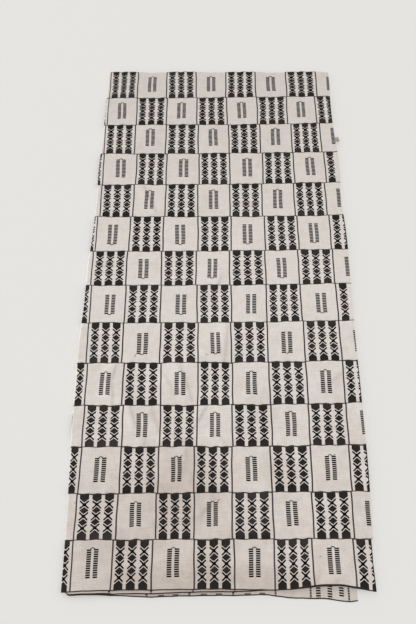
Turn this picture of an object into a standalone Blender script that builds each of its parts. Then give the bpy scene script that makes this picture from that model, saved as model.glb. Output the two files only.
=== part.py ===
"""A strip-woven cotton cloth, folded back and forth into four layers and laid flat.

Fourteen long narrow strips lie side by side and are sewn selvedge to selvedge. The cloth is
folded across the strips three times: left, right and left again. So each strip is one band that
runs from its loose end on top, through four layers, to its loose end on the floor.

The frame: X runs along the strips, Y runs across them to the far edge, Z is up and the bottom
layer lies on Z = 0. Sizes are in metres; the tables are in millimetres and say so.
"""

import math

import bmesh
import bpy
from mathutils import Vector

# Driving sizes, in metres
STRIP_COUNT = 14
CLOTH_THICKNESS = 0.0015
LAYER_PITCH = 0.0025
SEAM_GAP = 0.0003
RIGHT_FOLD_INSET = 0.018
LOWER_FOLD_INSET = 0.013
LOWER_END_INSET = 0.037
MM = 0.001

# The four layers, in the order that a strip's path meets them, and the round folds that join them
TOP, SECOND, THIRD, BOTTOM = range(4)
FOLD_RADIUS = LAYER_PITCH / 2
FOLD_REACH = FOLD_RADIUS + CLOTH_THICKNESS / 2

# How finely a strip follows its folds
STEPS_ACROSS = 2
TOP_STEPS = 20
SECOND_STEPS = 8
THIRD_STEPS = 6
OUTER_FOLD_STEPS = 5
INNER_FOLD_STEPS = 4
# Shares of the bottom layer's length, closer where its corner splays out from under the rest
BOTTOM_SHARES = (0, 0.12, 0.27, 0.42, 0.57, 0.69, 0.715, 0.78, 0.85, 0.92, 0.97, 1)

# One row for each seam, far selvedge first and near selvedge last, in mm
SEAMS = (
    # y at the middle, rise from the left end to the right end
    (693, 1),
    (598, 5),
    (502, 5),
    (404, 5),
    (303, 6),
    (202, 3),
    (100, 5),
    (3, 4),
    (-98, 4),
    (-201, 5),
    (-305, 5),
    (-401, 3),
    (-502, 6),
    (-599, 3),
    (-699, 0),
)

# One row for each strip's own middle, far to near, in mm
ENDS = (
    # x of the left fold, x of the loose right end of the top layer
    (-283, 318),
    (-288, 316),
    (-290, 319),
    (-294, 324),
    (-293, 321),
    (-296, 325),
    (-302, 326),
    (-303, 324),
    (-308, 323),
    (-308, 324),
    (-308, 324),
    (-305, 324),
    (-303, 321),
    (-302, 317),
)

# How far the top layer's near selvedge is drawn in or out along its last strip, in mm
TOP_NEAR_EDGE = (
    # x, shift towards the far side
    (-304, -4.5),
    (-225, -1.7),
    (-49, 0.6),
    (30, 1.2),
    (108, -0.7),
    (167, 2.1),
    (207, 6.9),
    (246, 6.9),
    (275, 3.1),
    (316, -3),
)

# How far each lower layer has slid by the time the path reaches a place, in mm: the second
# layer from the left fold to the right one, the third back, and the bottom one to its loose end
SECOND_SLIDE = (
    # x, slide of the far selvedge, slide of the near selvedge
    (-304, 0, 0),
    (-284, -0.5, -5),
    (-216, -2, -3.6),
    (-120, -3, -2.1),
    (-49, -3.2, 0.3),
    (30, -3.4, 1.5),
    (108, -3.6, 4.4),
    (160, -3.8, 10),
    (300, -4, 14.5),
)
THIRD_SLIDE = (
    (-291, -6, -2.4),
    (-240, -6, 1.5),
    (-150, -5.6, 5.5),
    (0, -5, 7.5),
    (150, -4.5, 11.5),
    (300, -4, 14.5),
)
BOTTOM_SLIDE = (
    (-291, -6, -2.4),
    (-225, -5, -2),
    (-49, -3.5, -4.1),
    (30, -3, -3.4),
    (106, -2.6, -2.8),
    (119, -2.5, -4.6),
    (152, -2.5, -9),
    (188, -2.6, -10.2),
    (221, -2.8, -10.7),
    (240, -3, -14.3),
    (261, -3.2, -17),
    (280, -3.4, -14.7),
)
LOWER_SLIDES = (SECOND_SLIDE, THIRD_SLIDE, BOTTOM_SLIDE)

# Share of the top layer's swells that each layer takes up, top layer first
SWELL_SHARES = (1, 0.55, 0.25, 0)

# Low soft swells where the top layer doesn't lie quite flat, in mm and degrees
SWELLS = (
    # x, y, half length, half width, turn, height
    (228, -702, 62, 46, 0, 2.4),
    (-120, -640, 120, 34, 28, 1.1),
    (10, -600, 130, 30, 38, 1.3),
    (-60, -430, 150, 32, 48, 1.2),
    (90, -330, 140, 34, -40, 1.2),
    (-170, -330, 120, 30, -52, 1.1),
    (-40, -190, 140, 36, 36, 1.2),
    (190, -120, 150, 40, 20, 1.0),
    (-200, 20, 140, 38, -30, 1.0),
    (30, 60, 120, 34, 42, 1.1),
    (-90, 250, 160, 40, 24, 1.0),
    (170, 330, 150, 40, -26, 0.9),
    (-150, 480, 130, 36, 30, 0.9),
    (60, 610, 150, 40, -18, 0.9),
)

COTTON_COLOUR = (0.62, 0.57, 0.53, 1)
COTTON_ROUGHNESS = 0.93


def along_table(table, at, column=1):
    """Reads a table's column at a place between its rows, on a smooth curve through them."""
    if at <= table[0][0]:
        return table[0][column]
    if at >= table[-1][0]:
        return table[-1][column]
    row = next(i for i in range(len(table) - 1) if at <= table[i + 1][0])
    start, end = table[row], table[row + 1]
    before = table[max(row - 1, 0)]
    after = table[min(row + 2, len(table) - 1)]
    span = end[0] - start[0]
    share = (at - start[0]) / span
    slope_in = (end[column] - before[column]) / (end[0] - before[0]) * span
    slope_out = (after[column] - start[column]) / (after[0] - start[0]) * span
    return (
        (2 * share**3 - 3 * share**2 + 1) * start[column]
        + (share**3 - 2 * share**2 + share) * slope_in
        + (3 * share**2 - 2 * share**3) * end[column]
        + (share**3 - share**2) * slope_out
    )


def end_place(seam, column):
    """The left fold or the loose right end at a seam number, which may lie between two seams."""
    strip_middles = [(i + 0.5, *row) for i, row in enumerate(ENDS)]
    return along_table(strip_middles, seam, column) * MM


def seam_line(seam, x):
    """How far from the middle a seam lies at a given x, for a seam number between 0 and 14."""
    first = min(int(seam), STRIP_COUNT - 1)
    share = seam - first
    middle = SEAMS[first][0] * (1 - share) + SEAMS[first + 1][0] * share
    rise = SEAMS[first][1] * (1 - share) + SEAMS[first + 1][1] * share
    left, right = end_place(seam, 1), end_place(seam, 2)
    return (middle + rise * x / (right - left)) * MM


def swell(x, y):
    """Height of the low swells at a place on the cloth."""
    height = 0
    for mid_x, mid_y, half_length, half_width, turn, rise in SWELLS:
        angle = math.radians(turn)
        off_x, off_y = x / MM - mid_x, y / MM - mid_y
        along = (off_x * math.cos(angle) + off_y * math.sin(angle)) / half_length
        across = (off_y * math.cos(angle) - off_x * math.sin(angle)) / half_width
        height += rise * math.exp(-(along**2) - across**2)
    return height * MM


def layer_y(layer, seam, x):
    """Where a seam of one layer lies: on its line, slid as the layer's two selvedges are."""
    share = seam / STRIP_COUNT
    last_strip_share = max(seam - (STRIP_COUNT - 1), 0)
    if layer == TOP:
        slide = along_table(TOP_NEAR_EDGE, x / MM) * last_strip_share
    else:
        table = LOWER_SLIDES[layer - SECOND]
        brought_round_fold = TOP_NEAR_EDGE[0][1] * last_strip_share
        far_slide, near_slide = along_table(table, x / MM, 1), along_table(table, x / MM, 2)
        slide = brought_round_fold + far_slide * (1 - share) + near_slide * share
    return seam_line(seam, x) + slide * MM


def layer_height(layer, x, y):
    """Height of a layer's middle surface, swells included."""
    rest = CLOTH_THICKNESS / 2 + LAYER_PITCH * (BOTTOM - layer)
    return rest + swell(x, y) * SWELL_SHARES[layer]


def layer_ends(layer, seam):
    """The two x values between which a layer lies flat, in the order that the path meets them."""
    left, right = end_place(seam, 1), end_place(seam, 2)
    top_left = left + FOLD_REACH
    fold_right = right - RIGHT_FOLD_INSET - FOLD_REACH
    lower_left = left + LOWER_FOLD_INSET + FOLD_REACH
    return (
        (right, top_left),
        (top_left, fold_right),
        (fold_right, lower_left),
        (lower_left, right - LOWER_END_INSET),
    )[layer]


def flat_point(layer, share, seam):
    """A point of a layer's middle surface, by its share of the layer's length."""
    start, end = layer_ends(layer, seam)
    x = start + (end - start) * share
    y = layer_y(layer, seam, x)
    return Vector((x, y, layer_height(layer, x, y)))


def fold_point(layer, share, seam):
    """A point of the round fold between a layer and the next one down."""
    above = flat_point(layer, 1, seam)
    below = flat_point(layer + 1, 0, seam)
    outwards = 1 if layer == SECOND else -1
    angle = math.pi * share
    half_drop = (above.z - below.z) / 2
    middle = above.lerp(below, share)
    return Vector((
        middle.x + outwards * FOLD_RADIUS * math.sin(angle),
        middle.y,
        (above.z + below.z) / 2 + half_drop * math.cos(angle),
    ))


def path_stations():
    """The stations of a strip, from its top end to its bottom end: a point maker and a share."""
    layer_shares = (
        [i / TOP_STEPS for i in range(TOP_STEPS + 1)],
        [i / SECOND_STEPS for i in range(SECOND_STEPS + 1)],
        [i / THIRD_STEPS for i in range(THIRD_STEPS + 1)],
        list(BOTTOM_SHARES),
    )
    fold_steps = (OUTER_FOLD_STEPS, INNER_FOLD_STEPS, INNER_FOLD_STEPS)
    stations = []
    for layer, shares in enumerate(layer_shares):
        stations += [(flat_point, layer, share) for share in shares]
        if layer < len(fold_steps):
            steps = fold_steps[layer]
            stations += [(fold_point, layer, i / steps) for i in range(1, steps)]
    return stations


def cotton_material(name):
    """Undyed cotton, at the mean colour of its light ground and dark figures."""
    material = bpy.data.materials.new(name)
    material.use_nodes = True
    shader = material.node_tree.nodes["Principled BSDF"]
    shader.inputs["Base Color"].default_value = COTTON_COLOUR
    shader.inputs["Roughness"].default_value = COTTON_ROUGHNESS
    shader.inputs["Metallic"].default_value = 0
    return material


def woven_strip(number, collection, parent):
    """One strip: a grid laid along the folded path, then given the cloth's thickness."""
    name = f"strip_{number:02d}"
    stations = path_stations()
    steps_along = len(stations) - 1
    strip_width = (SEAMS[number - 1][0] - SEAMS[number][0]) * MM
    share_inside_gap = 1 - SEAM_GAP / strip_width
    bm = bmesh.new()
    bmesh.ops.create_grid(bm, x_segments=steps_along, y_segments=STEPS_ACROSS, size=0.5)
    for vert in bm.verts:
        make_point, layer, share = stations[round((vert.co.x + 0.5) * steps_along)]
        seam = number - 0.5 - vert.co.y * share_inside_gap
        vert.co = make_point(layer, share, seam)
    mesh = bpy.data.meshes.new(name)
    bm.to_mesh(mesh)
    bm.free()
    mesh.materials.append(cotton_material(f"cotton of {name}"))
    strip = bpy.data.objects.new(name, mesh)
    strip.parent = parent
    collection.objects.link(strip)
    thickness = strip.modifiers.new("cloth thickness", "SOLIDIFY")
    thickness.thickness = CLOTH_THICKNESS
    thickness.offset = 0
    thickness.use_even_offset = True
    return strip


def rest_on_origin(parent, strips):
    """Moves the cloth so that the middle of its underside lies on the origin."""
    bpy.context.view_layer.update()
    depsgraph = bpy.context.evaluated_depsgraph_get()
    built = [strip.evaluated_get(depsgraph) for strip in strips]
    corners = [Vector(corner) for strip in built for corner in strip.bound_box]
    lows = [min(corner[axis] for corner in corners) for axis in range(3)]
    highs = [max(corner[axis] for corner in corners) for axis in range(3)]
    parent.location = (-(lows[0] + highs[0]) / 2, -(lows[1] + highs[1]) / 2, -lows[2])


for old in list(bpy.data.objects):
    bpy.data.objects.remove(old, do_unlink=True)

cloth = bpy.data.collections.new("mossi_cloth")
bpy.context.scene.collection.children.link(cloth)
folded_cloth = bpy.data.objects.new("folded_cloth", None)
cloth.objects.link(folded_cloth)
woven_strips = [woven_strip(n, cloth, folded_cloth) for n in range(1, STRIP_COUNT + 1)]
rest_on_origin(folded_cloth, woven_strips)
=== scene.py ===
"""A strip-woven cotton cloth with black figures, folded back and forth and laid flat."""
import math
import random

import bpy
import numpy as np
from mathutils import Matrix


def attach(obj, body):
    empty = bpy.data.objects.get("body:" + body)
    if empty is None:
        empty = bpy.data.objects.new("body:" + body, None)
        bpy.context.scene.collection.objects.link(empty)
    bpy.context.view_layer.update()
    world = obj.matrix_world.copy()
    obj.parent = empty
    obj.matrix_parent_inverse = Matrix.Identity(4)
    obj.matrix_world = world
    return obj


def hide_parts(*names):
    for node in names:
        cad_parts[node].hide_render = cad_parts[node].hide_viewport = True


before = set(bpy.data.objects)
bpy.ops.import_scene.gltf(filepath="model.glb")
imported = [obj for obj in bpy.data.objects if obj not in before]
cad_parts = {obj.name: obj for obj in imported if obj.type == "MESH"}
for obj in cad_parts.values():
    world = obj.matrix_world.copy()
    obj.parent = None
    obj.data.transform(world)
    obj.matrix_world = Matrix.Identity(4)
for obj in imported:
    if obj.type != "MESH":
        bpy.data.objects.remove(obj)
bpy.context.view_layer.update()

# The viewpoint: a standing person's eye at the near end of the cloth, looking down along it.
EYE_PLACE = (-0.0224, -1.0585, 1.755)
PITCH_DOWN = math.radians(60.18)
LENS = 50
SENSOR_WIDTH = 36

camera_data = bpy.data.cameras.new("eye")
camera_data.lens = LENS
camera_data.sensor_width = SENSOR_WIDTH
camera = bpy.data.objects.new("eye", camera_data)
camera.location = EYE_PLACE
camera.rotation_euler = (math.pi / 2 - PITCH_DOWN, 0, 0)
bpy.context.scene.collection.objects.link(camera)
bpy.context.scene.camera = camera

# The studio: an even pale floor under a bright overcast fill, with one wide soft light low on
# the left, which draws the creases and throws no shadow on the floor. The picture keeps the
# colours as the finishes state them.
FLOOR_SIZE = 12
FLOOR_COLOUR = (0.775, 0.770, 0.754, 1)
FLOOR_ROUGHNESS = 0.9
FILL_COLOUR = (1.0, 0.995, 0.985, 1)
FILL_STRENGTH = 0.60
KEY_STRENGTH = 3.1
KEY_SPREAD = math.radians(20)
KEY_ELEVATION = math.radians(24)
KEY_BEARING = math.radians(160)

bpy.context.scene.view_settings.view_transform = "Standard"

world = bpy.data.worlds.new("studio")
world.use_nodes = True
world.node_tree.nodes["Background"].inputs["Color"].default_value = FILL_COLOUR
world.node_tree.nodes["Background"].inputs["Strength"].default_value = FILL_STRENGTH
bpy.context.scene.world = world

key_data = bpy.data.lights.new("key", "SUN")
key_data.energy = KEY_STRENGTH
key_data.angle = KEY_SPREAD
key_data.use_shadow = False
key = bpy.data.objects.new("key", key_data)
key.rotation_euler = (0, math.pi / 2 - KEY_ELEVATION, KEY_BEARING)
bpy.context.scene.collection.objects.link(key)

floor_material = bpy.data.materials.new("floor")
floor_material.use_nodes = True
floor_shader = floor_material.node_tree.nodes["Principled BSDF"]
floor_shader.inputs["Base Color"].default_value = FLOOR_COLOUR
floor_shader.inputs["Roughness"].default_value = FLOOR_ROUGHNESS
floor_mesh = bpy.data.meshes.new("floor")
half_floor = FLOOR_SIZE / 2
floor_mesh.from_pydata(
    [(-half_floor, -half_floor, 0), (half_floor, -half_floor, 0),
     (half_floor, half_floor, 0), (-half_floor, half_floor, 0)],
    [],
    [(0, 1, 2, 3)],
)
floor_mesh.materials.append(floor_material)
floor = bpy.data.objects.new("floor", floor_mesh)
bpy.context.scene.collection.objects.link(floor)

# The fourteen strips. Each is a band of handwoven cotton about 100 mm wide and 2.4 m long, and
# they are sewn selvedge to selvedge. The cloth is folded across them, left, right and left
# again, so each strip runs through four layers. Tables are in millimetres, far side first.
MM = 0.001
STRIP_COUNT = 14
CLOTH_THICKNESS = 1.3
SOLID_THICKNESS = 1.5
LAYER_PITCH = 2.5
SEAM_GAP = 0.3
RIGHT_FOLD_INSET = 18
LOWER_FOLD_INSET = 13
LOWER_END_INSET = 37
TOP, SECOND, THIRD, BOTTOM = range(4)
FOLD_RADIUS = LAYER_PITCH / 2
FOLD_REACH = FOLD_RADIUS + SOLID_THICKNESS / 2

SEAMS = (
    # y at the middle, rise from the left end to the right end
    (693, 1),
    (598, 5),
    (502, 5),
    (404, 5),
    (303, 6),
    (202, 3),
    (100, 5),
    (3, 4),
    (-98, 4),
    (-201, 5),
    (-305, 5),
    (-401, 3),
    (-502, 6),
    (-599, 3),
    (-699, 0),
)
STRIPS = (
    # x of the left fold, x of the loose end, x of its eight dark weft lines on top
    (-286, 318, -280, -205, -126, -46, 35, 116, 200, 282),
    (-288, 316, -281, -204, -124, -43, 37, 118, 198, 275),
    (-290, 319, -284, -205, -124, -39, 41, 123, 206, 282),
    (-294, 324, -282, -197, -120, -36, 42, 127, 207, 287),
    (-293, 321, -282, -200, -120, -39, 41, 122, 203, 282),
    (-296, 325, -287, -205, -123, -38, 43, 126, 207, 286),
    (-302, 326, -291, -208, -125, -42, 38, 124, 203, 287),
    (-303, 324, -288, -207, -124, -39, 41, 123, 204, 288),
    (-308, 323, -288, -208, -122, -36, 39, 122, 206, 288),
    (-308, 324, -284, -202, -118, -36, 41, 123, 206, 288),
    (-308, 324, -283, -198, -117, -37, 39, 124, 205, 288),
    (-305, 324, -283, -198, -118, -43, 37, 119, 204, 286),
    (-303, 321, -285, -200, -120, -42, 36, 120, 201, 283),
    (-302, 317, -285, -205, -125, -41, 39, 119, 196, 279),
)
TURNED_ROUND = (6, 7, 8, 9)
LADDERS = (
    # shift to the right, start from the selvedge where the pattern starts, count of bars
    (0, 18.5, 13),
    (-1, 20.5, 13),
    (-1, 17.5, 13),
    (2, 19.5, 13),
    (-1, 20, 13),
    (-1, 20.5, 13),
    (-1, 20.5, 13),
    (5, 22.2, 12),
    (2, 21.5, 12),
    (1, 23.7, 12),
    (1, 20, 13),
    (0, 23.3, 12),
    (-2, 20.5, 12),
    (0, 18.8, 13),
)
LINE_COUNT = 8
TOP_NEAR_EDGE = (
    # x, shift of the near selvedge towards the far side
    (-304, -4.5),
    (-225, -1.7),
    (-49, 0.6),
    (30, 1.2),
    (108, -0.7),
    (167, 2.1),
    (207, 6.9),
    (246, 6.9),
    (275, 3.1),
    (316, -3),
)
SECOND_SLIDE = (
    # x, slide of the far selvedge, slide of the near selvedge
    (-304, 0, 0),
    (-293, 0, 0),
    (-288, -0.4, -4.8),
    (-276, -0.5, -5),
    (-216, -2, -3.6),
    (-120, -3, -2.1),
    (-49, -3.2, 0.3),
    (30, -3.4, 1.5),
    (108, -3.6, 4.4),
    (160, -3.8, 10),
    (300, -4, 14.5),
)
THIRD_SLIDE = (
    (-291, -6, -2.4),
    (-240, -6, 1.5),
    (-150, -5.6, 5.5),
    (0, -5, 7.5),
    (150, -4.5, 11.5),
    (300, -4, 14.5),
)
BOTTOM_SLIDE = (
    (-291, -6, -2.4),
    (-225, -5, -3.6),
    (-186, -4.6, -5.5),
    (-135, -4.2, -7.5),
    (-98, -4, -6.6),
    (-49, -3.5, -5.5),
    (30, -3, -4.5),
    (106, -2.6, -3.6),
    (119, -2.5, -5.6),
    (152, -2.5, -9.4),
    (188, -2.6, -10.2),
    (221, -2.8, -10.7),
    (240, -3, -14.3),
    (261, -3.2, -17),
    (280, -3.4, -14.7),
)
LOWER_SLIDES = (SECOND_SLIDE, THIRD_SLIDE, BOTTOM_SLIDE)
SWELL_SHARES = (1, 0.55, 0.25, 0)
SWELLS = (
    # x, y, half length, half width, turn in degrees, height
    (228, -702, 62, 46, 0, 2.4),
    (-120, -640, 120, 34, 28, 1.1),
    (10, -600, 130, 30, 38, 1.3),
    (-60, -430, 150, 32, 48, 1.2),
    (90, -330, 140, 34, -40, 1.2),
    (-170, -330, 120, 30, -52, 1.1),
    (-40, -190, 140, 36, 36, 1.2),
    (190, -120, 150, 40, 20, 1.0),
    (-200, 20, 140, 38, -30, 1.0),
    (30, 60, 120, 34, 42, 1.1),
    (-90, 250, 160, 40, 24, 1.0),
    (170, 330, 150, 40, -26, 0.9),
    (-150, 480, 130, 36, 30, 0.9),
    (60, 610, 150, 40, -18, 0.9),
)
CREASES = (
    # from x, y, to x, y, half width, height of a soft ridge in the top layer
    (-222, -200, -233, -245, 9, 1.7),
    (-233, -245, -226, -310, 9, 1.6),
    (-84, -200, -54, -288, 8, 1.8),
    (-119, -229, -92, -272, 8, 1.4),
    (28, -93, 20, -200, 8, 1.2),
    (-192, -300, -171, -366, 8, 1.7),
    (-143, -310, -124, -366, 9, 1.2),
    (-16, -298, -43, -350, 8, 1.6),
    (-4, -366, 22, -400, 8, 1.3),
    (-185, 305, -148, 221, 8, 2.0),
    (-122, -2, -91, -29, 8, 1.2),
    (15, 32, 5, -2, 8, 1.0),
    (-91, -379, -52, -402, 8, 1.1),
    (-133, -402, -91, -379, 9, 1.0),
    (-69, -386, -62, -426, 8, 1.5),
    (-155, -381, -152, -408, 8, 1.0),
    (-178, -347, -160, -372, 8, 0.9),
    (-121, -431, -60, -458, 10, 0.8),
    (-60, -458, 1, -496, 10, 0.9),
    (-53, -461, -36, -506, 8, 1.1),
    (-45, -560, -14, -528, 8, 1.2),
    (-34, -545, -30, -562, 9, 1.0),
    (-168, -576, -111, -570, 8, 1.3),
    (-132, -574, -118, -580, 8, 0.8),
    (-125, -640, -85, -648, 9, 1.0),
    (-125, -656, -88, -683, 10, 1.7),
    (-61, -664, 34, -679, 12, 1.1),
    (50, -650, 139, -670, 12, 1.0),
    (290, -214, 252, -252, 9, 1.4),
    (208, -340, 250, -356, 8, 1.0),
    (100, -430, 140, -476, 10, 0.9),
    (-160, 452, -138, 428, 9, 0.9),
    (186, -703, 204, -672, 8, 1.0),
    (214, -694, 252, -670, 9, 1.2),
)
PRESSED_OVER = (0.9, -0.45)
STEEP_SIDE = 0.55
GENTLE_SIDE = 1.9
SIDE_BLEND = 2
END_FADE = 0.5

# Weft lines on the layers underneath, counted from the leftmost one on top, down along the path
SECOND_LINE_X = -208
SECOND_LINE_PITCH = 82.5
SECOND_SETTLES_OVER = 70
THIRD_END_LINE = -14.35
BOTTOM_LINES = (
    # x, line number
    (-291, -14.4),
    (-134, -16),
    (-50, -17),
    (36, -18),
    (119, -19),
    (189, -20),
    (263, -21),
    (290, -21.4),
)

# How finely a strip is cut along its layers and folds, and the steps in from its selvedges
TOP_STEPS = 220
LOWER_STEPS = 42
LOWER_FIRST_STEPS = (0, 0.006, 0.012, 0.018, 0.024, 0.032)
FOLD_STEPS = 8
EDGE_STEPS = (0, 0.7, 1.6, 3, 5.2)
INNER_STEPS = 22
SHARP_EDGE = math.radians(50)

# Beside a seam the face dips and puckers
SELVEDGE_DIP = 0.45
SELVEDGE_DIP_WIDTH = 1.7
LOWER_DIP_SHARE = 0.3
PUCKER = 0.22
PUCKER_REACH = 7
PUCKER_LENGTHS = (2.6, 23)
PUCKER_STARTS = (3, 7)

# The seams' waves, and the scallops that the blocks of the figured cells push into them
CELL_LENGTH = 81
CELL_WIDTH = 100
SEAM_WAVE = 0.9
SEAM_WAVE_LENGTHS = (17, 61, 6.3)
SEAM_WAVE_STARTS = (2.4, 5, 4)
SEAM_RIPPLE = 0.5
FAR_SCALLOP = 2.2
BLOCK_MIDDLE = 40
BLOCK_PITCH = 24.4
BLOCK_SCALLOP = 0.9
NEAR_EDGE_WAVES = 0.5
SEAM_BOW = (1.2, 3.4)
SEAM_BOW_REACH = 300
FIRST_STRAIGHT_SEAM = 12

# How the weft lines bend on their way across a strip, and how the cloth ends and turns
SLACK_WAVES = (
    # height in weft lines, waves across the strip, turn from line to line
    (0.006, 4, 1.9),
    (0.003, 10, 3.1),
)
SLACK_SEED = 300
TAKEN_UP_BY_FOLD = 4
LAST_END_SET_BACK = 3


def curve_through(table, at, column=1):
    """Reads a table's column at places between its rows, on a smooth curve through them."""
    rows = np.array([(row[0], row[column]) for row in table], float)
    knots, heights = rows[:, 0], rows[:, 1]
    slopes = np.empty(len(knots))
    slopes[1:-1] = (heights[2:] - heights[:-2]) / (knots[2:] - knots[:-2])
    slopes[0] = (heights[1] - heights[0]) / (knots[1] - knots[0])
    slopes[-1] = (heights[-1] - heights[-2]) / (knots[-1] - knots[-2])
    at = np.clip(at, knots[0], knots[-1])
    row = np.clip(np.searchsorted(knots, at) - 1, 0, len(knots) - 2)
    span = knots[row + 1] - knots[row]
    share = (at - knots[row]) / span
    return (
        (2 * share**3 - 3 * share**2 + 1) * heights[row]
        + (share**3 - 2 * share**2 + share) * slopes[row] * span
        + (3 * share**2 - 2 * share**3) * heights[row + 1]
        + (share**3 - share**2) * slopes[row + 1] * span
    )


def end_place(seam, column):
    """The left fold (column 1) or the loose right end (2) at places between the far and near seam."""
    return curve_through([(i + 0.5, *row[:2]) for i, row in enumerate(STRIPS)], seam, column)


def seam_wander(seam, x):
    """How far a seam wanders from straight: each has waves of its own, shared by both its strips.

    Most bow towards the far side at both ends. The far selvedge, which is sewn to nothing, is drawn
    in a little beside each plain cell, and the near one runs straighter. Where a figured cell begins
    at a seam, its dark blocks push the seam out in three small scallops.
    """
    first, second, ripples = (
        np.sin(x / length + start * seam) for length, start in zip(SEAM_WAVE_LENGTHS, SEAM_WAVE_STARTS)
    )
    waves = SEAM_WAVE * first * second + SEAM_RIPPLE * ripples
    first_line = STRIPS[0][2]
    waves = waves + (seam == 0) * FAR_SCALLOP * np.sin(math.pi * (x - first_line) / CELL_LENGTH)
    waves = waves * np.where(seam == STRIP_COUNT, NEAR_EDGE_WAVES, 1)
    cell = np.floor((x - first_line) / CELL_LENGTH)
    in_cell = x - first_line - cell * CELL_LENGTH
    figured = (cell + seam + 1) % 2 == 1
    scalloped = figured & ~np.isin(seam + 1, TURNED_ROUND) & (seam < STRIP_COUNT)
    scallops = np.cos(math.tau * (in_cell - BLOCK_MIDDLE) / BLOCK_PITCH)
    scallops = scallops * np.sin(math.pi * in_cell / CELL_LENGTH)
    bow = np.where(x < 0, *SEAM_BOW) * (x / SEAM_BOW_REACH) ** 2
    bow = bow * (seam > 0) * (seam < FIRST_STRAIGHT_SEAM)
    return waves + scalloped * BLOCK_SCALLOP * scallops + bow


def seam_line(seam, x):
    """How far from the middle a seam lies at a given x."""
    first = np.clip(np.floor(seam).astype(int), 0, STRIP_COUNT - 1)
    share = seam - first
    seams = np.array(SEAMS, float)
    middle, rise = (
        seams[first, column] * (1 - share) + seams[first + 1, column] * share for column in (0, 1)
    )
    wander = seam_wander(first, x) * (1 - share) + seam_wander(first + 1, x) * share
    return middle + rise * x / (end_place(seam, 2) - end_place(seam, 1)) + wander


def layer_y(layer, seam, x):
    """Where a seam of one layer lies: on its line, slid as the layer's two selvedges are."""
    share = seam / STRIP_COUNT
    last_strip_share = np.maximum(seam - (STRIP_COUNT - 1), 0)
    if layer == TOP:
        return seam_line(seam, x) + curve_through(TOP_NEAR_EDGE, x) * last_strip_share
    table = LOWER_SLIDES[layer - SECOND]
    brought_round_fold = TOP_NEAR_EDGE[0][1] * last_strip_share
    slide = curve_through(table, x, 1) * (1 - share) + curve_through(table, x, 2) * share
    return seam_line(seam, x) + brought_round_fold + slide


def swell(x, y):
    """Height of the low swells."""
    height = 0
    for mid_x, mid_y, half_length, half_width, turn, rise in SWELLS:
        angle = math.radians(turn)
        along = ((x - mid_x) * math.cos(angle) + (y - mid_y) * math.sin(angle)) / half_length
        across = ((y - mid_y) * math.cos(angle) - (x - mid_x) * math.sin(angle)) / half_width
        height = height + rise * np.exp(-(along**2) - across**2)
    return height


def crease(x, y):
    """Height of the soft creases: the tallest ridge at each place, fading towards its ends.

    Each was pressed over to the right and near side, so it falls away more steeply there.
    """
    height = np.zeros_like(x)
    for from_x, from_y, to_x, to_y, half_width, rise in CREASES:
        run_x, run_y = to_x - from_x, to_y - from_y
        length = math.hypot(run_x, run_y)
        near = np.clip(((x - from_x) * run_x + (y - from_y) * run_y) / length**2, 0, 1)
        off = np.hypot(x - from_x - near * run_x, y - from_y - near * run_y)
        side = ((x - from_x) * run_y - (y - from_y) * run_x) / length
        leans_right = 1 if run_y * PRESSED_OVER[0] - run_x * PRESSED_OVER[1] > 0 else -1
        gentle = 0.5 - 0.5 * np.tanh(leans_right * side / half_width * SIDE_BLEND)
        width = half_width * (STEEP_SIDE + (GENTLE_SIDE - STEEP_SIDE) * gentle)
        fading = 1 - END_FADE * (2 * near - 1) ** 2
        height = np.maximum(height, rise * fading * np.exp(-((off / width) ** 2)))
    return height


def plane_waves(seed, count, longest, shortest, tallest):
    """Seeded waves for the ripples of handled cloth: their x and y rates, phases and heights."""
    chance = random.Random(seed)
    waves = []
    for i in range(count):
        length = longest * (shortest / longest) ** (i / (count - 1))
        angle = chance.uniform(0, math.pi)
        rate = math.tau / length
        phase = chance.uniform(0, math.tau)
        waves.append((rate * math.cos(angle), rate * math.sin(angle), phase, tallest * length / longest))
    return waves


RIPPLES = plane_waves(seed=7, count=14, longest=190, shortest=22, tallest=0.13)


def ripple(x, y):
    """Height of the small ripples, never below zero."""
    return sum(rise * (1 + np.sin(kx * x + ky * y + phase)) for kx, ky, phase, rise in RIPPLES)


def layer_height(layer, seam, x, y):
    """Height of a layer's middle surface: its rest, swells, ripples, creases and dipped selvedges."""
    rest = SOLID_THICKNESS / 2 + LAYER_PITCH * (BOTTOM - layer)
    loft = swell(x, y) + ripple(x, y) + (crease(x, y) if layer == TOP else 0)
    from_seam = np.abs(seam - np.round(seam)) * CELL_WIDTH
    if layer == TOP:
        gathers = np.sin(x / PUCKER_LENGTHS[0] + PUCKER_STARTS[0] * np.round(seam))
        gathers = gathers * np.sin(x / PUCKER_LENGTHS[1] + PUCKER_STARTS[1] * seam)
        loft = loft + PUCKER * gathers * np.exp(-((from_seam / PUCKER_REACH) ** 2))
    dip = SELVEDGE_DIP * np.exp(-((from_seam / SELVEDGE_DIP_WIDTH) ** 2))
    return rest + loft * SWELL_SHARES[layer] - dip * (1 if layer == TOP else LOWER_DIP_SHARE)


def layer_ends(layer, seam):
    """The two x values between which a layer lies flat, in the order that the path meets them."""
    left, right = end_place(seam, 1), end_place(seam, 2)
    set_back = LAST_END_SET_BACK * np.maximum(STRIP_COUNT - seam, 0) * (seam > STRIP_COUNT - 1)
    top_left = left + FOLD_REACH
    fold_right = right - RIGHT_FOLD_INSET - FOLD_REACH
    lower_left = left + LOWER_FOLD_INSET + FOLD_REACH
    return (
        (right - set_back, top_left),
        (top_left, fold_right),
        (fold_right, lower_left),
        (lower_left, right - LOWER_END_INSET),
    )[layer]


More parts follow.
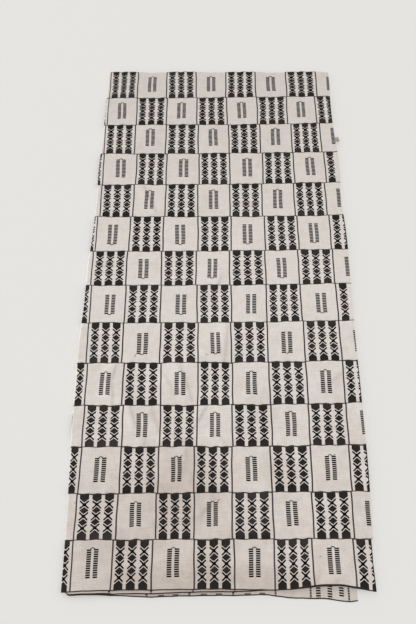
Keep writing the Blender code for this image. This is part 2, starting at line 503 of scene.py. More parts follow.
def flat_run(layer, shares, seam):
    """A layer's middle surface: a row of x, y, z across the strip for each share of its length."""
    start, end = layer_ends(layer, seam)
    x = start + (end - start) * shares[:, None]
    seams = np.broadcast_to(seam, x.shape)
    y = layer_y(layer, seams, x)
    return np.stack((x, y, layer_height(layer, seams, x, y)), axis=2)


def fold_run(layer, above, below):
    """The round fold between a layer's last row and the next layer's first row."""
    shares = np.arange(1, FOLD_STEPS)[:, None] / FOLD_STEPS
    outwards = 1 if layer == SECOND else -1
    run = above * (1 - shares[:, :, None]) + below * shares[:, :, None]
    run[:, :, 0] += outwards * FOLD_RADIUS * np.sin(math.pi * shares)
    half_drop = (above[:, 2] - below[:, 2]) / 2
    run[:, :, 2] = (above[:, 2] + below[:, 2]) / 2 + half_drop * np.cos(math.pi * shares)
    return run


def on_top_line(number, x):
    """Where an x on the top layer lies among the strip's dark weft lines, counted from the left."""
    left, lines = STRIPS[number - 1][0], STRIPS[number - 1][2:]
    pitch = (lines[-1] - lines[0]) / (LINE_COUNT - 1)
    at_fold = -(lines[0] - left + TAKEN_UP_BY_FOLD) / pitch
    places = (left, *lines, lines[-1] + pitch)
    return np.interp(x, places, (at_fold, *range(LINE_COUNT + 1)))


def line_numbers(number, runs):
    """Where each point of the path lies among the strip's weft lines, counted from the left."""
    lines = STRIPS[number - 1][2:]
    pitch = (lines[-1] - lines[0]) / (LINE_COUNT - 1)
    fold_length = math.pi * FOLD_RADIUS
    fold_shares = np.arange(1, FOLD_STEPS)[:, None] / FOLD_STEPS
    top, second, third, bottom = (run[:, :, 0] for run in runs)
    on_top = on_top_line(number, top)
    in_fold = on_top[-1] - fold_shares * fold_length / pitch
    carried_on = on_top[-1] - (fold_length + second - second[0]) / pitch
    as_seen = -1 - (second - SECOND_LINE_X) / SECOND_LINE_PITCH
    settled = np.clip((second - second[0]) / SECOND_SETTLES_OVER, 0, 1)
    on_second = carried_on * (1 - settled) + as_seen * settled
    in_right_fold = on_second[-1] - fold_shares * fold_length / pitch
    third_start = on_second[-1] - fold_length / pitch
    third_share = (third - third[0]) / (third[-1] - third[0])
    on_third = third_start + (THIRD_END_LINE - third_start) * third_share
    on_bottom = curve_through(BOTTOM_LINES, bottom)
    in_left_fold = on_third[-1] * (1 - fold_shares) + on_bottom[0] * fold_shares
    return np.vstack((on_top, in_fold, on_second, in_right_fold, on_third, in_left_fold, on_bottom))


def slack(lines, across, number):
    """Weft lines are beaten in by hand, so they bend a little on their way across the strip."""
    chance = random.Random(SLACK_SEED + number)
    bends = 0
    for height, waves, turn in SLACK_WAVES:
        bends = bends + height * np.sin(waves * across + turn * lines + chance.uniform(0, math.tau))
    return lines + bends


def shares_across(number):
    """Places across a strip from its far to its near selvedge, closer together at both."""
    width = SEAMS[number - 1][0] - SEAMS[number][0]
    steps_in = np.array(EDGE_STEPS) / width
    inner = np.linspace(steps_in[-1], 1 - steps_in[-1], INNER_STEPS + 1)[1:-1]
    return np.concatenate((steps_in, inner, 1 - steps_in[::-1])), width


def strip_path(number):
    """A strip's middle surface along its folded path, the lengths along it and its line numbers."""
    across, width = shares_across(number)
    seam = number - 0.5 + (across - 0.5) * (1 - SEAM_GAP / width)
    top_shares = np.linspace(0, 1, TOP_STEPS + 1)
    lower_shares = np.concatenate((LOWER_FIRST_STEPS, np.linspace(0, 1, LOWER_STEPS + 1)[2:]))
    runs = [flat_run(layer, top_shares if layer == TOP else lower_shares, seam) for layer in range(4)]
    rows = [runs[TOP]]
    for layer in (TOP, SECOND, THIRD):
        rows += [fold_run(layer, runs[layer][-1], runs[layer + 1][0]), runs[layer + 1]]
    places = np.concatenate(rows)
    middle = places[:, len(across) // 2]
    steps = np.linalg.norm(np.diff(middle, axis=0), axis=1)
    lengths = np.concatenate(([0], np.cumsum(steps)))
    return places, lengths, slack(line_numbers(number, runs), across[None, :], number)


class Wire:
    """An output of a material's tree. Sums on it in Python add the Math nodes they need."""

    def __init__(self, tree, output=None):
        self.tree = tree
        self.output = output

    def node(self, kind, settings, sockets, output=0):
        """Adds a node: its settings first, then the values or links of its sockets."""
        node = self.tree.nodes.new(kind)
        for name, value in settings.items():
            setattr(node, name, value)
        for name, value in sockets.items():
            if isinstance(value, Wire):
                self.tree.links.new(value.output, node.inputs[name])
            else:
                node.inputs[name].default_value = value
        return Wire(self.tree, node.outputs[output])

    def maths(self, operation, *values):
        return self.node("ShaderNodeMath", {"operation": operation}, dict(enumerate(values)))

    def clamped(self):
        return self.node("ShaderNodeClamp", {}, {"Value": self})

    def axes(self):
        return [self.node("ShaderNodeSeparateXYZ", {}, {0: self}, axis) for axis in range(3)]

    def __add__(self, other):
        return self.maths("ADD", self, other)

    __radd__ = __add__

    def __sub__(self, other):
        return self.maths("SUBTRACT", self, other)

    def __rsub__(self, other):
        return self.maths("SUBTRACT", other, self)

    def __mul__(self, other):
        return self.maths("MULTIPLY", self, other)

    __rmul__ = __mul__

    def __truediv__(self, other):
        return self.maths("DIVIDE", self, other)

    def __mod__(self, other):
        return self.maths("FLOORED_MODULO", self, other)

    def __abs__(self):
        return self.maths("ABSOLUTE", self)


def under(value, limit, blur=0.3):
    """1 where a value is under a limit and 0 above it, with a short slope between."""
    return ((limit - value) / blur + 0.5).clamped()


def blend(share, first, second):
    """Mixes two colours, each a wire or four numbers."""
    return share.node(
        "ShaderNodeMix",
        {"data_type": "RGBA"},
        {"Factor": share, 6: first, 7: second},
        2,
    )


def noise(coordinates, scale, detail=2, stretch=(1, 1, 1)):
    """Noise between 0 and 1 on stretched coordinates."""
    stretched = coordinates.node(
        "ShaderNodeVectorMath", {"operation": "MULTIPLY"}, {0: coordinates, 1: stretch}
    )
    return stretched.node(
        "ShaderNodeTexNoise", {}, {"Vector": stretched, "Scale": scale, "Detail": detail}
    )


# Sizes of the woven pattern, in mm. On the weave's map each strip starts 120 past the one before,
# and the cells are counted from 40, so that none is below zero.
STRIP_SPACING = 120
CELLS_BEFORE = 40
PICK = 0.9
WANDER = 0.95
LINE_WIDTH = 3.2
LINE_CORE_WIDTH = 1.0

# The dark selvedges. They are wider over figured cells. Along the near edge the line is widened
# with painted shadow, most of all in two stretches where that edge lifts, by their places along the strip.
SELVEDGE_LINE = 0.85
FIGURED_EDGE_LINE = 1.1
TURNED_MIDDLE = 950
TURNED_REACH = 235
FAR_EDGE = 121.5
NEAR_EDGE = 1770
NEAR_EDGE_LINE_AND_SHADOW = 1.2
LIFTED_EDGE_SHADOW_MIDDLE = 89
LIFTED_EDGE_SHADOW_REACH = 62
LIFTED_EDGE_SHADOW_WIDTH = 2.0
SECOND_LIFT_SHADOW_MIDDLE = 675
SECOND_LIFT_SHADOW_REACH = 42
SECOND_LIFT_SHADOW_WIDTH = 1.4

# The cut ends: a dark rim on the figures, and two strips whose last column stops short of the end
CUT_END = 1.8
CUT_END_REACH = 10.5
PLAIN_END = 9
PLAIN_END_MIDDLES = (530, 1010)
PLAIN_END_REACH = 55

# The figures on the face: columns of crosses and diamonds
COLUMN_MIDDLE = 40.0
COLUMN_PITCH = 24.4
CROSS_MIDDLE = 49.4
CROSS_PITCH = 25.7
CROSS_HALF_HEIGHT = 9.1
CROSS_HALF_WIDTH = 9.0
CROSS_ARM = 2.4
CROSS_KNOT = 4.2
CROSS_LEAN = 0.95
DIAMOND_CLEARANCE = 4.9
DIAMOND_LEAN = 0.87
DIAMOND_OUTLINE = 1.5
LATTICE_PITCH = 2.6
LATTICE_LINE = 0.45
FAR_BOLDNESS = 0.5
BOLDER_BY = 1.6
BOLD_IN_MIDDLE = 0.1

# The reverse: short bars for the columns, a row of marks near the bottom layer's near edge, and
# a few bars that are worn away there, at a place in metres
BACK_BAR_PITCH = 4.6
BACK_BAR_HEIGHT = 3.0
BACK_BAR_WIDTH = 10.4
BACK_LINE_LOW = 0.45
BACK_LINE_WIDTH = 4.2
HIDDEN_BARS_BEFORE = 1750
HIDDEN_BARS_WIDTH = 8
EDGE_MARK_MIDDLE = 2080
EDGE_MARK_REACH = 133
EDGE_MARK_OFFSET = 13.8
EDGE_MARK_WIDTH = 12
EDGE_MARK_HEIGHT = 4.5
EDGE_MARK_DEPTH = 0.72
LOST_BARS_PLACE = (0.2415, -0.7015)
LOST_BARS_REACH = (0.009, 0.0042)

# The ladders in the plain cells
LADDER_MIDDLE = 40.6
LADDER_OFFSET = 7.2
LADDER_WIDTH = 9.2
BAR_PITCH = 4.43
BAR_HEIGHT = 3.35
LADDER_START_SLACK = 0.4
LADDER_END_TRIM = 0.5

# Colours of the yarns
UNDYED = (0.778, 0.724, 0.680, 1)
# The next two are painted shade on the undyed ground: browner near, greyer far
UNDYED_BROWN_SHADE = (0.590, 0.510, 0.454, 1)
UNDYED_GREY_SHADE = (0.665, 0.612, 0.572, 1)
UNDYED_LOW = 0.74
BLACK = (0.004, 0.0035, 0.0035, 1)
CHARCOAL = (0.012, 0.011, 0.0105, 1)
CHARCOAL_LIGHT = (0.058, 0.053, 0.051, 1)
LINE_COLOUR = (0.026, 0.021, 0.024, 1)
LINE_CORE = (0.090, 0.076, 0.082, 1)
# The dark selvedge yarn, also used for the painted shadow along the near edge
SELVEDGE_AND_SHADOW_COLOUR = (0.036, 0.026, 0.021, 1)

# How far the blocks and diamonds fade from charcoal, by their lattice and in long patches
LATTICE_FADE = 0.75
DYE_LEVEL = 0.45
DYE_FADE = 1.6

# Where painted shade makes some spots and the near end darker and browner, and the far end greyer, in
# metres
PAINTED_SHADE_SPOTS = (
    # middle x, y, reach x, y, strength
    (-0.14, -0.56, 0.24, 0.22, 0.30),
    (-0.03, -0.682, 0.31, 0.055, 0.44),
    (-0.09, -0.47, 0.10, 0.11, 0.30),
    (0.13, -0.45, 0.06, 0.045, 0.30),
)
NEAR_SHADE_FROM = -0.12
NEAR_SHADE_BY = 0.70
FAR_SHADE_FROM = 0.05
FAR_SHADE_BY = 1.15
SHADE_BLOTCHES = 0.9
SHADE_CLOUDS = 0.35

# How light and dark the single yarns are
SHADE_LEVEL = 0.36
NUB_SHADE = 1.2
WARP_SHADE = 1.0
WEFT_SHADE = 0.7
FIBRE_SHADE = 0.4
CLOUD_SHADE = 0.5

# The relief in mm, and the finish
THREAD_RELIEF = 0.06
FIBRE_RELIEF = 0.03
FLOAT_RELIEF = 0.28
LINE_PROUD = 0.7
RELIEF_STRENGTH = 0.8
COTTON_ROUGHNESS = 0.95
COTTON_GLOSS = 0.04


def uneven(*layers):
    """Sums layers of noise, each about its middle value and times its strength."""
    return sum((layer - 0.5) * strength for layer, strength in layers)


def soft_spot(x, y, middle_x, middle_y, reach_x, reach_y, strength):
    """A round or oval spot that fades from its strength in the middle to 0 at its rim."""
    off_x = (x - middle_x) / reach_x
    off_y = (y - middle_y) / reach_y
    return (1 - (off_x * off_x + off_y * off_y)).clamped() * strength


def cotton_material(name, face):
    """Plain-woven cotton with its figures: the face with them in full, or the back with short bars."""
    material = bpy.data.materials.new(name)
    material.use_nodes = True
    tree = material.node_tree
    shader = tree.nodes["Principled BSDF"]
    wire = Wire(tree)
    weave = wire.node("ShaderNodeUVMap", {"uv_map": "weave"}, {})
    figures = wire.node("ShaderNodeUVMap", {"uv_map": "figures"}, {})
    place_in_object = wire.node("ShaderNodeTexCoord", {}, {}, "Object")
    u, v, _ = weave.axes()
    u, v = u / MM, v / MM
    place, share, _ = figures.axes()
    object_x, object_y, _ = place_in_object.axes()

    # The beat of each pick and each warp thread moves the figures by a little
    wander = noise(weave, scale=28, detail=3)
    wander_across = noise(weave, scale=31, detail=3, stretch=(1, 1.3, 1))
    cell = place.maths("FLOOR", place)
    along = (place - cell) * CELL_LENGTH
    along_woven = along + (wander - 0.5) * WANDER
    along_woven = (along_woven / PICK).maths("FLOOR", along_woven / PICK) * PICK + PICK / 2
    across = share * CELL_WIDTH
    across_woven = across + (wander_across - 0.5) * WANDER
    figured = cell % 2
    plain = 1 - figured

    line_off = along.maths("MINIMUM", along, CELL_LENGTH - along)
    line = under(line_off, LINE_WIDTH / 2)
    edge_off = across.maths("MINIMUM", across, CELL_WIDTH - across)
    # Painted shadow under the near edge where it lifts, widening the dark near selvedge
    lifted_edge_shadow = under(abs(u - LIFTED_EDGE_SHADOW_MIDDLE), LIFTED_EDGE_SHADOW_REACH, blur=12) * LIFTED_EDGE_SHADOW_WIDTH
    lifted_edge_shadow = lifted_edge_shadow + under(abs(u - SECOND_LIFT_SHADOW_MIDDLE), SECOND_LIFT_SHADOW_REACH, blur=12) * SECOND_LIFT_SHADOW_WIDTH
    edge_line_and_shadow = SELVEDGE_LINE + (1 - under(v, NEAR_EDGE)) * (NEAR_EDGE_LINE_AND_SHADOW + lifted_edge_shadow)
    turned = under(abs(v - TURNED_MIDDLE), TURNED_REACH)
    edge_line_and_shadow = edge_line_and_shadow + figured * under(across, CELL_WIDTH / 2) * (1 - turned) * FIGURED_EDGE_LINE
    # The mask is the dark selvedge yarn, and along the near edge also painted shadow
    selvedge = under(edge_off, edge_line_and_shadow, blur=0.6) * (1 - under(v, FAR_EDGE) * plain)
    plain_end = under(u, PLAIN_END) * sum(under(abs(v - y), PLAIN_END_REACH) for y in PLAIN_END_MIDDLES)
    figured = figured * (1 - plain_end)

    column_off = abs(along_woven - COLUMN_MIDDLE)
    column_off = column_off.maths("MINIMUM", column_off, abs(column_off - COLUMN_PITCH))
    cross_off = abs(across_woven - CROSS_MIDDLE)
    cross_off = cross_off.maths("MINIMUM", cross_off, abs(cross_off - CROSS_PITCH))

    fibre = noise(weave, scale=1500)
    dye = noise(weave, scale=5, detail=1, stretch=(0.6, 4, 1))
    if face:
        # The dark yarn gets a little thicker towards the far strips
        bolder = (object_y * BOLDER_BY + BOLD_IN_MIDDLE).clamped() * FAR_BOLDNESS
        arm = under(abs(column_off * CROSS_LEAN - cross_off), bolder + CROSS_ARM)
        cross = arm * under(cross_off, CROSS_HALF_HEIGHT) * under(column_off, CROSS_HALF_WIDTH)
        cross = (cross + under(cross_off + column_off, bolder * 2 + CROSS_KNOT)).clamped()
        reach = cross_off - column_off * DIAMOND_LEAN - DIAMOND_CLEARANCE
        side_reach = CROSS_HALF_WIDTH - column_off
        inner_reach = reach.maths("MINIMUM", reach, side_reach)
        diamond = 1 - under(inner_reach, 0)
        outline = under(inner_reach, DIAMOND_OUTLINE)
        lattice = under(abs(reach % LATTICE_PITCH - LATTICE_PITCH / 2), LATTICE_LINE)
        cut_end = under(u, CUT_END, blur=1) * under(column_off, CUT_END_REACH)
        figure = figured * (cross + diamond + cut_end).clamped()
        ladders = wire.node("ShaderNodeUVMap", {"uv_map": "ladders"}, {})
        ladder_middle, ladder_start, _ = ladders.axes()
        bar_count, _, _ = wire.node("ShaderNodeUVMap", {"uv_map": "bars"}, {}).axes()
        ladder_off = abs(abs(along - ladder_middle) - LADDER_OFFSET)
        from_start = across - ladder_start
        in_ladder = (
            under(ladder_off, LADDER_WIDTH / 2, blur=0.6)
            * under(from_start, bar_count * BAR_PITCH - LADDER_END_TRIM)
            * (1 - under(from_start, -LADDER_START_SLACK))
        )
        bar = under(abs(from_start % BAR_PITCH - BAR_HEIGHT / 2), BAR_HEIGHT / 2, blur=0.5)
        rungs = plain * in_ladder * bar
        inside = (1 - outline) * diamond
        faded = (lattice * LATTICE_FADE + (dye - DYE_LEVEL) * DYE_FADE).clamped()
        figure_colour = blend(inside, BLACK, blend(faded, CHARCOAL, CHARCOAL_LIGHT))
    else:
        bar = under(abs(across_woven % BACK_BAR_PITCH - BACK_BAR_PITCH / 2), BACK_BAR_HEIGHT / 2)
        hidden = under(u, HIDDEN_BARS_BEFORE) * under(edge_off, HIDDEN_BARS_WIDTH)
        lost = under(abs(object_x - LOST_BARS_PLACE[0]), LOST_BARS_REACH[0], blur=0.002)
        lost = lost * under(abs(object_y - LOST_BARS_PLACE[1]), LOST_BARS_REACH[1], blur=0.001)
        figure = figured * under(column_off, BACK_BAR_WIDTH / 2) * bar * (1 - hidden) * (1 - lost)
        mark_off = abs(abs(along_woven - CELL_LENGTH / 2) - EDGE_MARK_OFFSET)
        rungs = (
            under(mark_off, EDGE_MARK_WIDTH / 2)
            * under(CELL_WIDTH - across, EDGE_MARK_HEIGHT)
            * under(abs(u - EDGE_MARK_MIDDLE), EDGE_MARK_REACH)
            * (1 - under(v, NEAR_EDGE))
            * EDGE_MARK_DEPTH
        )
        figure = figure * (1 - under(abs(u - EDGE_MARK_MIDDLE), EDGE_MARK_REACH))
        line = under(line_off, BACK_LINE_WIDTH / 2) * (BACK_LINE_LOW + bar * (1 - BACK_LINE_LOW))
        figure_colour = blend(fibre, BLACK, CHARCOAL)

    # The light ground: uneven handspun yarns in both directions, with painted shade that makes it
    # darker and browner in spots and towards the near end, and greyer towards the far end
    warp_streak = noise(weave, scale=900, stretch=(0.02, 1, 1))
    weft_streak = noise(weave, scale=700, stretch=(1, 0.04, 1))
    nubs = noise(weave, scale=330, detail=3)
    blotch = noise(weave, scale=11, detail=3)
    cloud = noise(weave, scale=60)
    shade_spots = sum(soft_spot(object_x, object_y, *spot) for spot in PAINTED_SHADE_SPOTS)
    near_shade = ((NEAR_SHADE_FROM - object_y) * NEAR_SHADE_BY).clamped()
    far_shade = ((object_y - FAR_SHADE_FROM) * FAR_SHADE_BY).clamped()
    # Painted shade: the spots and both ends darkened, broken up by blotches and clouds of noise
    painted_shade = shade_spots + near_shade
    painted_shade = painted_shade + uneven((blotch, SHADE_BLOTCHES), (cloud, SHADE_CLOUDS))
    ground = blend(far_shade, UNDYED, UNDYED_GREY_SHADE)
    ground = blend(painted_shade.clamped(), ground, UNDYED_BROWN_SHADE)
    shade = SHADE_LEVEL + uneven(
        (nubs, NUB_SHADE),
        (warp_streak, WARP_SHADE),
        (weft_streak, WEFT_SHADE),
        (fibre, FIBRE_SHADE),
        (cloud, CLOUD_SHADE),
    )
    ground_low = ground.node(
        "ShaderNodeVectorMath", {"operation": "SCALE"}, {0: ground, "Scale": UNDYED_LOW}
    )
    ground = blend(shade.clamped(), ground, ground_low)

    line_colour = blend(under(line_off, LINE_CORE_WIDTH / 2), LINE_COLOUR, LINE_CORE)
    colour = blend(line, ground, line_colour)
    colour = blend(figure, colour, figure_colour)
    colour = blend(rungs, colour, BLACK)
    colour = blend(selvedge, colour, SELVEDGE_AND_SHADOW_COLOUR)
    tree.links.new(colour.output, shader.inputs["Base Color"])

    # The relief: crossing threads, with the dark yarn's floats standing proud of them
    thread_u = wire.maths("SINE", u * (math.pi / PICK))
    thread_v = wire.maths("SINE", v * (math.pi / PICK))
    threads = thread_u * thread_v * THREAD_RELIEF + fibre * FIBRE_RELIEF
    proud = (figure + rungs + line * LINE_PROUD).clamped() * FLOAT_RELIEF
    height = (threads + proud) * MM
    bump = wire.node(
        "ShaderNodeBump", {}, {"Strength": RELIEF_STRENGTH, "Distance": 1.0, "Height": height}
    )
    tree.links.new(bump.output, shader.inputs["Normal"])
    shader.inputs["Roughness"].default_value = COTTON_ROUGHNESS
    shader.inputs["Specular IOR Level"].default_value = COTTON_GLOSS
    return material


face_material = cotton_material("cotton face", True)
back_material = cotton_material("cotton back", False)

paths = {number: strip_path(number) for number in range(1, STRIP_COUNT + 1)}
# Where the tables' own plan lies in the frame, as on the solids
SHIFT = np.array((-0.008915, 0.012157, 0))


def to_frame(places):
    """Millimetres in the tables' plan to metres in the frame."""
    return places * MM + SHIFT


def ladder_sizes(number):
    """A strip's ladders: their middle along the cell, their start across it and their count of bars."""
    to_right, start, bars = LADDERS[number - 1]
    return LADDER_MIDDLE + (-to_right if number in TURNED_ROUND else to_right), start, bars


def woven_strip(number):
    """One strip as a thin sheet on its folded path, with its two faces' materials."""
    places, lengths, lines = paths[number]
    across, width = shares_across(number)
    rows, columns = lines.shape
    verts = to_frame(places).reshape(-1, 3)
    corner = np.arange(rows * columns).reshape(rows, columns)
    faces = np.stack((corner[:-1, :-1], corner[1:, :-1], corner[1:, 1:], corner[:-1, 1:]), axis=2)
    name = f"woven_strip_{number:02d}"
    mesh = bpy.data.meshes.new(name)
    mesh.from_pydata(verts.tolist(), [], faces.reshape(-1, 4).tolist())
    mesh.materials.append(face_material)
    mesh.materials.append(back_material)
    turned = number in TURNED_ROUND
    parity = number % 2
    counted = -lines - parity + 1 if turned else lines + parity
    cell_place = CELLS_BEFORE + counted
    figure_share = 1 - across if turned else across
    weave_places = np.stack(
        np.broadcast_arrays(lengths[:, None] * MM, (number * STRIP_SPACING + across * width)[None, :] * MM),
        axis=2,
    )
    figure_places = np.stack(np.broadcast_arrays(cell_place, figure_share[None, :]), axis=2)
    vertex_of_loop = np.empty(len(mesh.loops), int)
    mesh.loops.foreach_get("vertex_index", vertex_of_loop)
    ladder_middle, ladder_start, bars = ladder_sizes(number)
    ladder_places = np.full_like(weave_places, (ladder_middle, ladder_start))
    bar_counts = np.full_like(weave_places, (bars, 0))
    for map_name, table in (
        ("weave", weave_places),
        ("figures", figure_places),
        ("ladders", ladder_places),
        ("bars", bar_counts),
    ):
        layer = mesh.uv_layers.new(name=map_name)
        layer.uv.foreach_set("vector", table.reshape(-1, 2)[vertex_of_loop].ravel())
    strip = bpy.data.objects.new(name, mesh)
    bpy.context.scene.collection.objects.link(strip)
    thickness = strip.modifiers.new("cloth thickness", "SOLIDIFY")
    thickness.thickness = CLOTH_THICKNESS * MM
    thickness.offset = 0
    thickness.material_offset = 1
    thickness.use_even_offset = True
    depsgraph = bpy.context.evaluated_depsgraph_get()
    finished = bpy.data.meshes.new_from_object(strip.evaluated_get(depsgraph), depsgraph=depsgraph)
    strip.modifiers.clear()
    finished.shade_smooth()
    finished.set_sharp_from_angle(angle=SHARP_EDGE)
    finished.name = name
    strip.data = finished
    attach(strip, "root")
    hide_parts(f"strip_{number:02d}")
    width * MM


for strip_number in range(1, STRIP_COUNT + 1):
    woven_strip(strip_number)

# The sewing. Each pair of strips is whip-stitched edge to edge by hand with a grey-brown cotton
# thread, in short slanting stitches a little under 5 mm apart, over the top layer and its fold.
STITCH_PITCH = 4.7
STITCH_LENGTH = 3.6
STITCH_LIFT = 0.55
STITCH_SINK = 0.1
STITCH_SLANT = math.radians(62)
STITCH_THREAD = 0.26
SEAM_COLOUR = (0.20, 0.165, 0.14, 1)
SEAM_DARK_COLOUR = (0.07, 0.055, 0.048, 1)
THREAD_SIDES = 6
THREAD_STEPS = 5
TWIST_RELIEF = 0.15
THREAD_ROUGHNESS = 0.9
THREAD_GLOSS = 0.1
STITCHED_ROWS = TOP_STEPS + FOLD_STEPS + 2


def thread_material(name, colour, dark_colour):
    """Twisted cotton thread, uneven in colour."""
    material = bpy.data.materials.new(name)
    material.use_nodes = True
    tree = material.node_tree
    shader = tree.nodes["Principled BSDF"]
    place = Wire(tree).node("ShaderNodeTexCoord", {}, {}, "Object")
    patches = noise(place, scale=900)
    tree.links.new(blend(patches, colour, dark_colour).output, shader.inputs["Base Color"])
    twist = noise(place, scale=2600, detail=1) * TWIST_RELIEF * MM
    bump = twist.node("ShaderNodeBump", {}, {"Strength": 1.0, "Distance": 1.0, "Height": twist})
    tree.links.new(bump.output, shader.inputs["Normal"])
    shader.inputs["Roughness"].default_value = THREAD_ROUGHNESS
    shader.inputs["Specular IOR Level"].default_value = THREAD_GLOSS
    return material


def thread_tree(name, follows_path):
    """Geometry Nodes that lay a short bent thread at each point, or at each step of a path.

    The points carry two directions: along, which the thread's ends lie on, and outwards.
    """
    tree = bpy.data.node_groups.new(name, "GeometryNodeTree")
    tree.is_modifier = True
    sockets = tree.interface
    sockets.new_socket("Geometry", in_out="INPUT", socket_type="NodeSocketGeometry")
    for size in ("Pitch", "Length", "Rise", "Lift", "Thread", "Turn", "Turn spread", "Size spread"):
        sockets.new_socket(size, in_out="INPUT", socket_type="NodeSocketFloat")
    sockets.new_socket("Seed", in_out="INPUT", socket_type="NodeSocketInt")
    sockets.new_socket("Material", in_out="INPUT", socket_type="NodeSocketMaterial")
    sockets.new_socket("Geometry", in_out="OUTPUT", socket_type="NodeSocketGeometry")
    wire = Wire(tree)

    def given(socket):
        return wire.node("NodeGroupInput", {}, {}, socket)

    def direction(attribute):
        kind = {"data_type": "FLOAT_VECTOR"}
        return wire.node("GeometryNodeInputNamedAttribute", kind, {"Name": attribute})

    def place(x, y, z):
        return wire.node("ShaderNodeCombineXYZ", {}, {"X": x, "Y": y, "Z": z})

    points = given("Geometry")
    if follows_path:
        points = wire.node("GeometryNodeMeshToCurve", {}, {"Mesh": points})
        points = wire.node(
            "GeometryNodeResampleCurve", {"mode": "LENGTH"}, {"Curve": points, "Length": given("Pitch")}
        )
    half = given("Length") / 2
    bend = wire.node(
        "GeometryNodeCurveQuadraticBezier",
        {},
        {
            "Resolution": THREAD_STEPS,
            "Start": place(-1 * half, 0.0, 0.0),
            "Middle": place(0.0, given("Rise") * 2, given("Lift") * 2),
            "End": place(half, 0.0, 0.0),
        },
    )
    round_thread = wire.node(
        "GeometryNodeCurvePrimitiveCircle", {}, {"Resolution": THREAD_SIDES, "Radius": given("Thread")}
    )
    one = wire.node(
        "GeometryNodeCurveToMesh", {}, {"Curve": bend, "Profile Curve": round_thread, "Fill Caps": True}
    )
    facing = wire.node(
        "FunctionNodeAlignRotationToVector",
        {"axis": "X", "pivot_axis": "AUTO"},
        {"Vector": direction("along")},
    )
    facing = wire.node(
        "FunctionNodeAlignRotationToVector",
        {"axis": "Z", "pivot_axis": "X"},
        {"Rotation": facing, "Vector": direction("outwards")},
    )

    def drawn(lowest, highest, seed):
        return wire.node(
            "FunctionNodeRandomValue", {"data_type": "FLOAT"}, {2: lowest, 3: highest, "Seed": seed}, 1
        )

    turned = drawn(
        given("Turn") - given("Turn spread"), given("Turn") + given("Turn spread"), given("Seed")
    )
    facing = wire.node(
        "FunctionNodeRotateRotation",
        {"rotation_space": "LOCAL"},
        {"Rotation": facing, "Rotate By": place(0.0, 0.0, turned)},
    )
    grown = drawn(1 - given("Size spread"), 1 + given("Size spread"), given("Seed") + 1)
    laid = wire.node(
        "GeometryNodeInstanceOnPoints",
        {},
        {"Points": points, "Instance": one, "Rotation": facing, "Scale": place(grown, grown, 1.0)},
    )
    real = wire.node("GeometryNodeRealizeInstances", {}, {"Geometry": laid})
    smooth = wire.node("GeometryNodeSetShadeSmooth", {}, {"Geometry": real, "Shade Smooth": True})
    done = wire.node("GeometryNodeSetMaterial", {}, {"Geometry": smooth, "Material": given("Material")})
    output = tree.nodes.new("NodeGroupOutput")
    tree.links.new(done.output, output.inputs["Geometry"])
    return tree


def thread_piece(name, tree, places, directions, edges, sizes):
    """Runs a thread tree on points, and keeps the result as one plain mesh that rides on the cloth."""
    mesh = bpy.data.meshes.new(name)
    mesh.from_pydata(places, edges, [])
    for column, attribute in enumerate(("along", "outwards")):
        values = mesh.attributes.new(attribute, "FLOAT_VECTOR", "POINT")
        values.data.foreach_set("vector", np.array(directions, float)[:, column].ravel())
    piece = bpy.data.objects.new(name, mesh)
    bpy.context.scene.collection.objects.link(piece)
    threads = piece.modifiers.new("threads", "NODES")
    threads.node_group = tree
    for item in tree.interface.items_tree:
        if item.in_out == "INPUT" and item.name in sizes:
            threads[item.identifier] = sizes[item.name]
    depsgraph = bpy.context.evaluated_depsgraph_get()
    finished = bpy.data.meshes.new_from_object(piece.evaluated_get(depsgraph), depsgraph=depsgraph)
    piece.modifiers.clear()
    finished.name = name
    piece.data = finished
    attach(piece, "root")


def seam_path(seam):
    """The run of a seam over the top layer and round its fold: places, and their two directions."""
    middle = (paths[seam][0][:STITCHED_ROWS, -1] + paths[seam + 1][0][:STITCHED_ROWS, 0]) / 2
    along = np.gradient(middle, axis=0)
    along /= np.linalg.norm(along, axis=1)[:, None]
    outwards = np.cross(along, (0, -1, 0))
    outwards /= np.linalg.norm(outwards, axis=1)[:, None]
    return middle + outwards * (CLOTH_THICKNESS / 2 - STITCH_SINK), along, outwards


seam_places, seam_directions, seam_edges = [], [], []
for seam_number in range(1, STRIP_COUNT):
    seam_run, run_along, run_outwards = seam_path(seam_number)
    first = len(seam_places)
    seam_places += to_frame(seam_run).tolist()
    seam_directions += np.stack((run_along, run_outwards), axis=1).tolist()
    seam_edges += [(first + i, first + i + 1) for i in range(len(seam_run) - 1)]

seam_thread = thread_material("seam thread", SEAM_COLOUR, SEAM_DARK_COLOUR)
thread_piece(
    "seam_stitching",
    thread_tree("whip stitches", follows_path=True),
    seam_places,
    seam_directions,
    seam_edges,
    {
        "Pitch": STITCH_PITCH * MM,
        "Length": STITCH_LENGTH * MM,
        "Rise": 0.0,
        "Lift": STITCH_LIFT * MM,
        "Thread": STITCH_THREAD * MM,
        "Turn": STITCH_SLANT,
        "Turn spread": 0.35,
        "Size spread": 0.18,
        "Seed": 11,
        "Material": seam_thread,
    },
)

# The ladder threads. At the top of each pair of ladders the black yarn crosses from one to the
# other in a loose arc that lies on the face of the cloth.
ARC_SPAN = 7.8
ARC_RISE = 2.0
ARC_LIFT = 0.6
ARC_THREAD = 0.8
ARC_COLOUR = (0.012, 0.011, 0.011, 1)
ARC_DARK_COLOUR = (0.004, 0.0035, 0.0035, 1)
ARC_MISSING = ((8, 4),)


def top_place(number, place_along, share):
    """A point on the face of a strip's top layer, by its place among the weft lines and across."""
    across, width = shares_across(number)
    rows = slice(0, TOP_STEPS + 1)
    places, _, lines = paths[number]
    column = int(np.argmin(np.abs(across - share)))
    spot = [np.interp(-place_along, -lines[rows, column], places[rows, column, axis]) for axis in range(3)]
    spot[1] += (across[column] - share) * width
    spot[2] += CLOTH_THICKNESS / 2
    return np.array(spot)


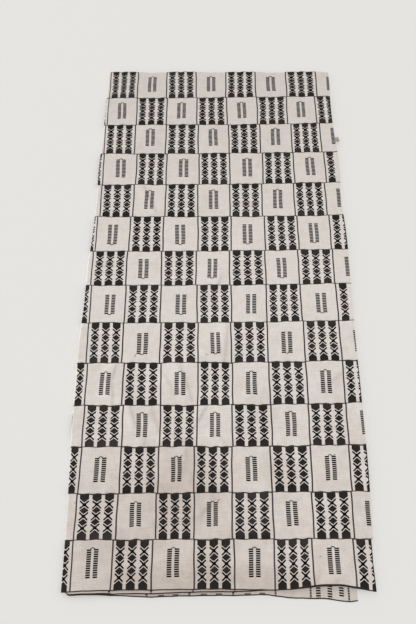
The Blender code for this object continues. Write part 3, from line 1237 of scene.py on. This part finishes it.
arc_places, arc_directions = [], []
for strip_number in range(1, STRIP_COUNT + 1):
    turned = strip_number in TURNED_ROUND
    for cell_number in range(-1, LINE_COUNT):
        if (cell_number + strip_number) % 2 or (strip_number, cell_number) in ARC_MISSING:
            continue
        ladder_middle, ladder_start, _ = ladder_sizes(strip_number)
        share_along = ladder_middle / CELL_LENGTH
        place_along = cell_number + (1 - share_along if turned else share_along)
        share = ladder_start / CELL_WIDTH
        spot = top_place(strip_number, place_along, 1 - share if turned else share)
        left, right = STRIPS[strip_number - 1][:2]
        if left + ARC_SPAN < spot[0] < right - ARC_SPAN:
            arc_places.append(to_frame(spot).tolist())
            arc_directions.append(((-1 if turned else 1, 0, 0), (0, 0, 1)))

black_thread = thread_material("black thread", ARC_COLOUR, ARC_DARK_COLOUR)
thread_piece(
    "ladder_arcs",
    thread_tree("ladder arcs", follows_path=False),
    arc_places,
    arc_directions,
    [],
    {
        "Length": ARC_SPAN * MM,
        "Rise": ARC_RISE * MM,
        "Lift": ARC_LIFT * MM,
        "Thread": ARC_THREAD * MM,
        "Turn": 0.0,
        "Turn spread": 0.12,
        "Size spread": 0.12,
        "Seed": 23,
        "Material": black_thread,
    },
)

# Loose yarn. Here and there a dark yarn's end was left long beside a ladder or a line, and it lies
# curled on the face. At strip 3's loose end a small tuft of warp ends sticks out.
LOOSE_ENDS = (
    # x, y on the top layer
    (-177, -184),
    (9, -519),
    (-287, -523),
    (211, -634),
    (255, -420),
    (-70, -424),
    (-16, -182),
)
LOOSE_LENGTH = 5.5
LOOSE_THREAD = 0.42
TUFT_PLACE = (325, 449)
TUFT_WIDTH = 13
TUFT_THREADS = 70
TUFT_LENGTH = 10
TUFT_THREAD = 0.38
TUFT_DEPTH = 3
TUFT_COLOUR = (0.50, 0.44, 0.37, 1)
TUFT_DARK_COLOUR = (0.26, 0.22, 0.18, 1)

face_places = np.concatenate([path[0][: TOP_STEPS + 1].reshape(-1, 3) for path in paths.values()])


def on_face(x, y):
    """The nearest point to x, y on the face of the top layer."""
    nearest = np.argmin(np.hypot(face_places[:, 0] - x, face_places[:, 1] - y))
    return to_frame(np.array((x, y, face_places[nearest, 2] + CLOTH_THICKNESS / 2))).tolist()


loose_sizes = {
    "Length": LOOSE_LENGTH * MM,
    "Rise": 1.0 * MM,
    "Lift": 0.5 * MM,
    "Thread": LOOSE_THREAD * MM,
    "Turn": 0.7,
    "Turn spread": 0.6,
    "Size spread": 0.3,
    "Seed": 37,
    "Material": black_thread,
}
thread_piece(
    "loose_yarn_ends",
    thread_tree("loose yarn ends", follows_path=False),
    [on_face(x, y) for x, y in LOOSE_ENDS],
    [((1, 0, 0), (0, 0, 1))] * len(LOOSE_ENDS),
    [],
    loose_sizes,
)

chance = random.Random(41)
tuft_places = [
    on_face(
        TUFT_PLACE[0] + chance.uniform(-TUFT_DEPTH, 0),
        TUFT_PLACE[1] + chance.uniform(-0.5, 0.5) * TUFT_WIDTH,
    )
    for _ in range(TUFT_THREADS)
]
tuft_sizes = loose_sizes | {
    "Length": TUFT_LENGTH * MM,
    "Thread": TUFT_THREAD * MM,
    "Turn": 0.0,
    "Turn spread": 0.9,
    "Seed": 43,
    "Material": thread_material("tuft yarn", TUFT_COLOUR, TUFT_DARK_COLOUR),
}
thread_piece(
    "warp_tuft",
    thread_tree("warp tuft", follows_path=False),
    tuft_places,
    [((1, 0, 0), (0, 0, 1))] * TUFT_THREADS,
    [],
    tuft_sizes,
)
